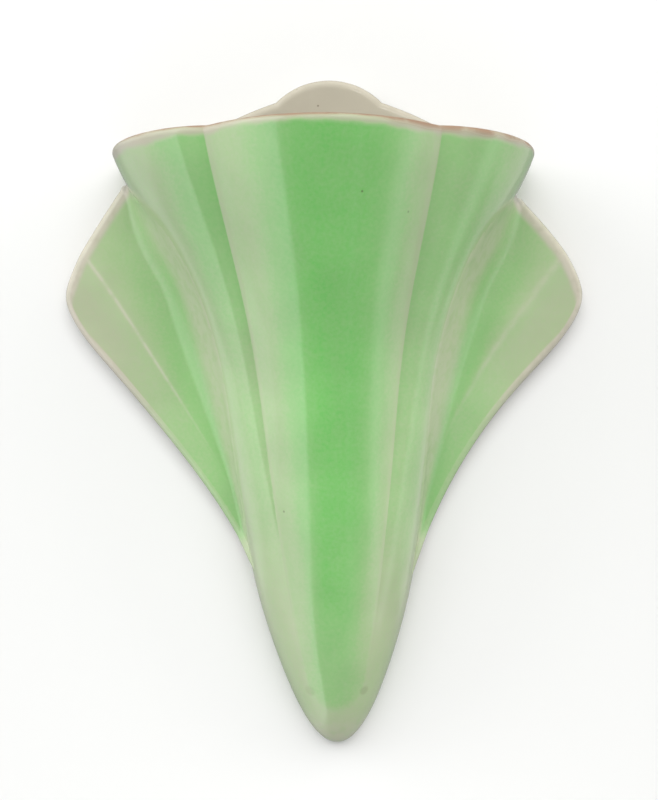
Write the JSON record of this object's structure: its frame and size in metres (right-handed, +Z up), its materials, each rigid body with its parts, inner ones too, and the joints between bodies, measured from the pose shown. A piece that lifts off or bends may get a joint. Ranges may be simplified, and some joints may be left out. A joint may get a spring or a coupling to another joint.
{
  "type": "wall vase",
  "caption": "Fluted half-round pottery wall vase with a flared open mouth, pleated side fins and a flat back whose scalloped crest has a hanging hole; holds flowers against a wall.",
  "frame": {"origin": "centre of the hanging hole, on the wall plane that the flat back lies against", "axes": "+Z up along the wall, +Y into the wall, -Y out to the room, +X to the right as seen from the room"},
  "size_m": [0.1544, 0.0612, 0.2006],
  "materials": {
    "cream_glaze": "glossy clear glaze over cream earthenware, worn brownish at the rim",
    "sprayed_glaze": "glossy clear glaze over cream earthenware, airbrushed green in the flutes and pale on the valleys and rim",
    "wing_glaze": "glossy clear glaze over cream earthenware, airbrushed light green in the hollows and cream on ridges and edges"
  },
  "bodies": {
    "root": {"back_plate": "cream_glaze", "pocket_front": "sprayed_glaze", "left_wing": "wing_glaze", "right_wing": "wing_glaze"}
  },
  "joints": []
}
